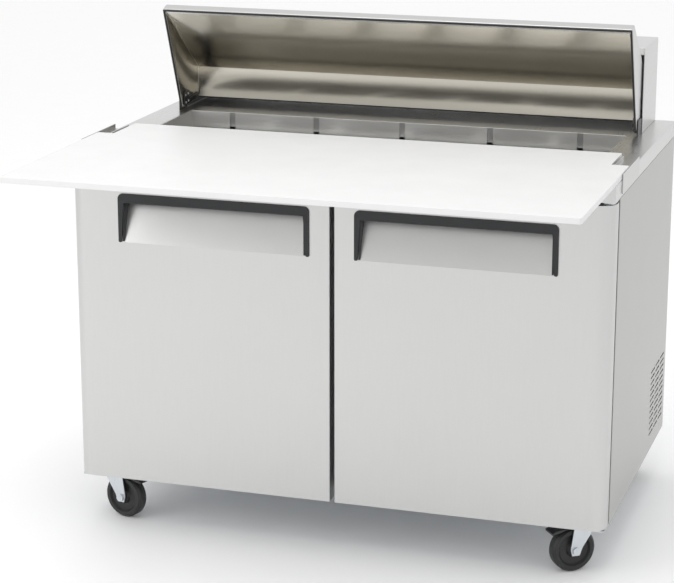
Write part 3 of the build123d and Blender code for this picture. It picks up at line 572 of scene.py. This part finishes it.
def lid_liner():
    """Bright inner skin: slope, back and the two cheeks."""
    reach = LID_HALF - CHEEK - LINER_GAP
    front = (INNER_FRONT[0] + 2 * LINER_GAP, RIM_Z + LINER_GAP)
    peak = (INNER_PEAK[0], INNER_PEAK[1] - LINER_GAP)
    foot = rear_edge(REAR_EDGE - LID_WALL - LINER_GAP, LINER_GAP)
    rim_end = rear_edge(LINER_GAP, LINER_GAP)
    work = bmesh.new()
    left, right = profile_ends(work, (front, peak, foot, rim_end), reach)
    for index in range(2):
        work.faces.new((left[index], left[index + 1], right[index + 1], right[index]))
    work.faces.new(left[::-1])
    work.faces.new(right)
    bmesh.ops.recalc_face_normals(work, faces=work.faces)
    inside = swung(*LINER_INSIDE, 0.0)
    work.faces.ensure_lookup_table()
    slope = work.faces[0]
    if slope.normal.dot(inside - slope.calc_center_median()) < 0:
        bmesh.ops.reverse_faces(work, faces=work.faces)
    piece = piece_from(work, "liner")
    sheet = piece.modifiers.new("sheet", "SOLIDIFY")
    sheet.thickness = LINER_SHEET
    sheet.offset = -1.0
    bevel = piece.modifiers.new("fold", "BEVEL")
    bevel.width = LINER_FOLD
    bevel.segments = 2
    # the liner's finish carries a painted reflection in its warm tint
    return finish_piece(piece, "lid", "mirror_steel", ("lid_liner",))


print(len(lid_liner().data.polygons), "faces in the liner before Solidify")

# %% [markdown]
# ### Seals and hinge straps
# On the real lid a thin black seal runs round the rim and another lies under the rear foot. Black
# straps inside the cheeks carry the pivots: wide beside the pivot and narrow along to the foot.
# A swept profile would suit a soft seal with bends. This one is straight on every side, so short
# plates that meet at the corners do, and the straps are one outline used at both ends.

# %% Seals and straps
SEAL_WIDTH, SEAL_DROP, SEAL_INSET, SEAL_END_GAP = 0.004, 0.0044, 0.001, 0.003
FOOT_SEAL, FOOT_SEAL_INSET = 0.003, 0.001
STRAP, STRAP_SHEET, STRAP_INSET, STRAP_EDGE_GAP = 0.012, 0.003, 0.0013, 0.0015
STRAP_PLATE, STRAP_START, STRAP_FOOT_GAP = 3 * STRAP, 0.003, 0.004
STRAP_RADII = [0.002, 0.005, 0.008, 0.004, 0.003, 0.002]


def lid_seals():
    """Rim seal on three sides and a strip under the foot."""
    work = bmesh.new()
    side_x = LID_HALF - SEAL_INSET
    front = HOOD_FRONT[0] + SEAL_INSET
    behind, rear = front + SEAL_WIDTH, HOOD_REAR_RIM[0] - SEAL_END_GAP
    spans = [((front, behind), (-side_x, side_x)),
             ((behind, rear), (-side_x, -side_x + SEAL_WIDTH)),
             ((behind, rear), (side_x - SEAL_WIDTH, side_x))]
    seal_z = RIM_Z - SEAL_DROP
    for (y0, y1), (x0, x1) in spans:
        corners = [(y0, seal_z), (y1, seal_z), (y1, RIM_Z), (y0, RIM_Z)]
        push_outline(work, corners, lambda u, v, x=x0: swung(u, v, x), along_x(x1 - x0))
    near, far = REAR_EDGE - LID_WALL + FOOT_SEAL_INSET, REAR_EDGE - FOOT_SEAL_INSET
    foot = [rear_edge(near, 0.0), rear_edge(far, 0.0), rear_edge(far, -FOOT_SEAL),
            rear_edge(near, -FOOT_SEAL)]
    reach = LID_HALF - CHEEK
    push_outline(work, foot, lambda u, v: swung(u, v, -reach), along_x(2 * reach))
    piece = piece_from(work, "lid_seals", 0.8)
    return finish_piece(piece, "lid", "seal_rubber", ("lid_gasket",))


def hinge_straps():
    """The pair of straps, just inside the liner's cheeks."""
    end, wide = REAR_EDGE - LID_WALL - STRAP_FOOT_GAP, STRAP_PLATE
    corners = [rear_edge(STRAP_START, STRAP_EDGE_GAP), rear_edge(STRAP_START, wide), rear_edge(wide, wide),
               rear_edge(wide, STRAP), rear_edge(end, STRAP), rear_edge(end, STRAP_EDGE_GAP)]
    outline = round_corners(corners, STRAP_RADII)
    work = bmesh.new()
    outer = LID_HALF - CHEEK - STRAP_INSET
    for start in (-outer, outer - STRAP_SHEET):
        push_outline(work, outline, lambda u, v, x=start: swung(u, v, x), along_x(STRAP_SHEET))
    piece = piece_from(work, "hinge_straps", 0.5)
    return finish_piece(piece, "lid", "black_steel", ("lid_hinge_plates",))


for lid_piece in (lid_seals(), hinge_straps()):
    print(lid_piece.name, len(lid_piece.data.polygons), "faces before rolling the edges")

# %% [markdown]
# ## Screws and shelf wires
# What repeats is made by a Geometry Nodes tree from a few points or lines, so that a head or a rod
# is described once and its size is a named input. Both trees end in Realize Instances and Set
# Material, and what they make is kept as a plain mesh, without the tree.

# %% Node tree helpers


def new_tree(name, inputs):
    """A node group with a geometry input, named number inputs and a geometry output."""
    tree = bpy.data.node_groups.new(name, "GeometryNodeTree")
    tree.interface.new_socket(name="Geometry", in_out="INPUT", socket_type="NodeSocketGeometry")
    sockets = {label: tree.interface.new_socket(name=label, in_out="INPUT", socket_type=kind).identifier
               for label, kind in inputs}
    tree.interface.new_socket(name="Geometry", in_out="OUTPUT", socket_type="NodeSocketGeometry")
    return tree, sockets, tree.nodes.new("NodeGroupInput"), tree.nodes.new("NodeGroupOutput")


def end_tree(tree, source, finish, output):
    """Close a tree with Realize Instances and Set Material."""
    real = tree.nodes.new("GeometryNodeRealizeInstances")
    paint = tree.nodes.new("GeometryNodeSetMaterial")
    paint.inputs["Material"].default_value = materials[finish]
    tree.links.new(source, real.inputs["Geometry"])
    tree.links.new(real.outputs["Geometry"], paint.inputs["Geometry"])
    tree.links.new(paint.outputs["Geometry"], output.inputs["Geometry"])


def grow(name, mesh, tree, sockets, values):
    """Run a tree on a mesh and return the result as a plain piece."""
    seed_piece = new_piece(name + "_seed", mesh)
    modifier = seed_piece.modifiers.new("grow", "NODES")
    modifier.node_group = tree
    for label, value in values.items():
        modifier[sockets[label]] = value
    evaluated = seed_piece.evaluated_get(bpy.context.evaluated_depsgraph_get())
    grown = bpy.data.meshes.new_from_object(evaluated)
    grown.name = name
    bpy.data.objects.remove(seed_piece)
    shade_by_angle(grown)
    piece = new_piece(name, grown)
    print(name, len(grown.polygons), "faces")
    return piece


# %% [markdown]
# ### Screws
# The lid's straps are screwed to its cheeks and the caster plates to the base, with plated pan
# heads. Modelled singly they would be a dozen faces each, copied by hand. Here a low cone with a
# sunk round recess stands on every point, faces the way the point's "facing" says, and is turned
# about its own axis by a seeded amount, since no two real screws stop at the same angle.

# %% Screw heads
SCREW_SIDES, SCREW_TOP, SCREW_RECESS, RECESS_DEPTH = 12, 0.72, 0.55, 0.5
SCREW_HEIGHT = 0.0012
screw_tree, SCREW, taken, given = new_tree("screw_heads", [
    ("Radius", "NodeSocketFloat"), ("Height", "NodeSocketFloat"), ("Seed", "NodeSocketInt")])
head = screw_tree.nodes.new("GeometryNodeMeshCone")
head.inputs["Vertices"].default_value = SCREW_SIDES
ledge = screw_tree.nodes.new("GeometryNodeExtrudeMesh")
ledge.inputs["Offset Scale"].default_value = 0.0
narrow = screw_tree.nodes.new("GeometryNodeScaleElements")
narrow.inputs["Scale"].default_value = SCREW_RECESS
recess = screw_tree.nodes.new("GeometryNodeExtrudeMesh")
recess_offset = add_product(screw_tree, taken.outputs["Height"], -RECESS_DEPTH)
top_radius = add_product(screw_tree, taken.outputs["Radius"], SCREW_TOP)
facing = screw_tree.nodes.new("GeometryNodeInputNamedAttribute")
facing.data_type = "FLOAT_VECTOR"
facing.inputs["Name"].default_value = "facing"
aim = screw_tree.nodes.new("FunctionNodeAlignRotationToVector")
aim.axis = "Z"
spin = screw_tree.nodes.new("FunctionNodeRandomValue")
spin.data_type = "FLOAT_VECTOR"
spin.inputs["Min"].default_value = (0, 0, 0)
spin.inputs["Max"].default_value = (0, 0, math.pi)
turn = screw_tree.nodes.new("FunctionNodeEulerToRotation")
both = screw_tree.nodes.new("FunctionNodeRotateRotation")
both.rotation_space = "LOCAL"
place = screw_tree.nodes.new("GeometryNodeInstanceOnPoints")
for source, target in (
        (taken.outputs["Radius"], head.inputs["Radius Bottom"]),
        (top_radius, head.inputs["Radius Top"]),
        (taken.outputs["Height"], head.inputs["Depth"]),
        (head.outputs["Mesh"], ledge.inputs["Mesh"]),
        (head.outputs["Top"], ledge.inputs["Selection"]),
        (ledge.outputs["Mesh"], narrow.inputs["Geometry"]),
        (ledge.outputs["Top"], narrow.inputs["Selection"]),
        (narrow.outputs["Geometry"], recess.inputs["Mesh"]),
        (ledge.outputs["Top"], recess.inputs["Selection"]),
        (recess_offset, recess.inputs["Offset Scale"]),
        (facing.outputs["Attribute"], aim.inputs["Vector"]),
        (taken.outputs["Seed"], spin.inputs["Seed"]),
        (spin.outputs["Value"], turn.inputs["Euler"]),
        (aim.outputs["Rotation"], both.inputs["Rotation"]),
        (turn.outputs["Rotation"], both.inputs["Rotate By"]),
        (taken.outputs["Geometry"], place.inputs["Points"]),
        (recess.outputs["Mesh"], place.inputs["Instance"]),
        (both.outputs["Rotation"], place.inputs["Rotation"])):
    screw_tree.links.new(source, target)
end_tree(screw_tree, place.outputs["Instances"], "zinc", given)


def screws(name, body, spots, radius, seed):
    """Plated screw heads at (point, facing) pairs as one piece on a body."""
    mesh = bpy.data.meshes.new(name + "_points")
    mesh.from_pydata([spot for spot, _ in spots], [], [])
    ways = mesh.attributes.new("facing", "FLOAT_VECTOR", "POINT")
    for index, (_, way) in enumerate(spots):
        ways.data[index].vector = way
    sizes = {"Radius": radius, "Height": SCREW_HEIGHT, "Seed": seed}
    piece = grow(name, mesh, screw_tree, SCREW, sizes)
    return finish_piece(piece, body, "zinc")


STRAP_SCREW, PLATE_SCREW, PLATE_SCREW_INSET, SCREW_GAP = 0.0032, 0.0040, 0.009, 0.0001
STRAP_SCREW_ALONG, STRAP_SCREW_INWARD = (0.010, 0.027), (0.009, 0.027)
strap_face = LID_HALF - CHEEK - STRAP_INSET - STRAP_SHEET - SCREW_GAP
strap_spots = []
for end in (-1, 1):
    for along in STRAP_SCREW_ALONG:
        for inward in STRAP_SCREW_INWARD:
            y, z = rear_edge(along, inward)
            strap_spots.append((swung(y, z, end * strap_face), (-end, 0.0, 0.0)))
screws("strap_screws", "lid", strap_spots, STRAP_SCREW, 3)

plate_low, plate_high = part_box("caster_plates")
plate_spots = []
for joint in frame["record"]["behaviour"]["joints"]:
    if joint["name"].startswith("caster_") and joint["name"].endswith("_swivel"):
        axis = Vector(joint["pos_m"])
        half_x = plate_high.x - abs(axis.x) - PLATE_SCREW_INSET
        half_y = min(axis.y - plate_low.y, plate_high.y - axis.y) - PLATE_SCREW_INSET
        for step_x in (-half_x, half_x):
            for step_y in (-half_y, half_y):
                spot = Vector((axis.x + step_x, axis.y + step_y, plate_low.z))
                plate_spots.append((spot, (0.0, 0.0, -1.0)))
screws("plate_screws", "cabinet", plate_spots, PLATE_SCREW, 5)

# %% [markdown]
# ### Shelf wires
# A wire shelf is a few stout rails with thinner rods welded across them, all dipped in white
# epoxy. Every member is straight, so each is one line, and a second tree sweeps a round section
# along the lines and caps the ends. Rods sink slightly into the rails, as welded wire does.

# %% Shelf wires
WIRE_SIDES = 10
wire_tree, WIRE, taken, given = new_tree("round_wires", [("Radius", "NodeSocketFloat")])
to_curve = wire_tree.nodes.new("GeometryNodeMeshToCurve")
ring = wire_tree.nodes.new("GeometryNodeCurvePrimitiveCircle")
ring.inputs["Resolution"].default_value = WIRE_SIDES
sweep = wire_tree.nodes.new("GeometryNodeCurveToMesh")
sweep.inputs["Fill Caps"].default_value = True
wire_tree.links.new(taken.outputs["Geometry"], to_curve.inputs["Mesh"])
wire_tree.links.new(taken.outputs["Radius"], ring.inputs["Radius"])
wire_tree.links.new(to_curve.outputs["Curve"], sweep.inputs["Curve"])
wire_tree.links.new(ring.outputs["Curve"], sweep.inputs["Profile Curve"])
end_tree(wire_tree, sweep.outputs["Mesh"], "shelf_wire", given)


def wires(name, node, lines, radius, stands_for):
    """Round rods along straight lines, as one piece on the node's body."""
    mesh = bpy.data.meshes.new(name + "_lines")
    ends = [end for line in lines for end in line]
    mesh.from_pydata(ends, [(2 * i, 2 * i + 1) for i in range(len(lines))], [])
    piece = grow(name, mesh, wire_tree, WIRE, {"Radius": radius})
    return finish_piece(piece, node_body[node], "shelf_wire", stands_for)


SHELF_WIRES, RAIL_SHARE, ROD_SHARE = 14, 0.30, 0.22
for side in SIDES:
    node = "wire_shelf_" + side
    low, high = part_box(node)
    tall = high.z - low.z
    rail, rod = RAIL_SHARE * tall, ROD_SHARE * tall
    rail_z, rod_z = low.z + rail, high.z - rod
    rail_places = (low.y + rail, (low.y + high.y) / 2, high.y - rail)
    rails = [((low.x, y, rail_z), (high.x, y, rail_z)) for y in rail_places]
    wires("shelf_rails_" + side, node, rails, rail, (node,))
    gap = (high.x - low.x - 2 * rod) / (SHELF_WIRES - 1)
    rod_places = [low.x + rod + index * gap for index in range(SHELF_WIRES)]
    rods = [((x, low.y, rod_z), (x, high.y, rod_z)) for x in rod_places]
    wires("shelf_rods_" + side, node, rods, rod, ())

# %% [markdown]
# ## The other rigid nodes
# Pans, panels and machinery that already have the right shape keep their CAD mesh and only get a
# material. A mesh is never changed here, because the same mesh is what the physics was made from.

# %% Materials on the remaining nodes
for node, thing in frame["nodes"].items():
    finish = node_slot[node]
    for index in range(max(1, len(thing.data.materials))):
        if index < len(thing.data.materials):
            thing.data.materials[index] = materials[finish]
        else:
            thing.data.materials.append(materials[finish])
print(len(frame["nodes"]), "nodes have their finish")
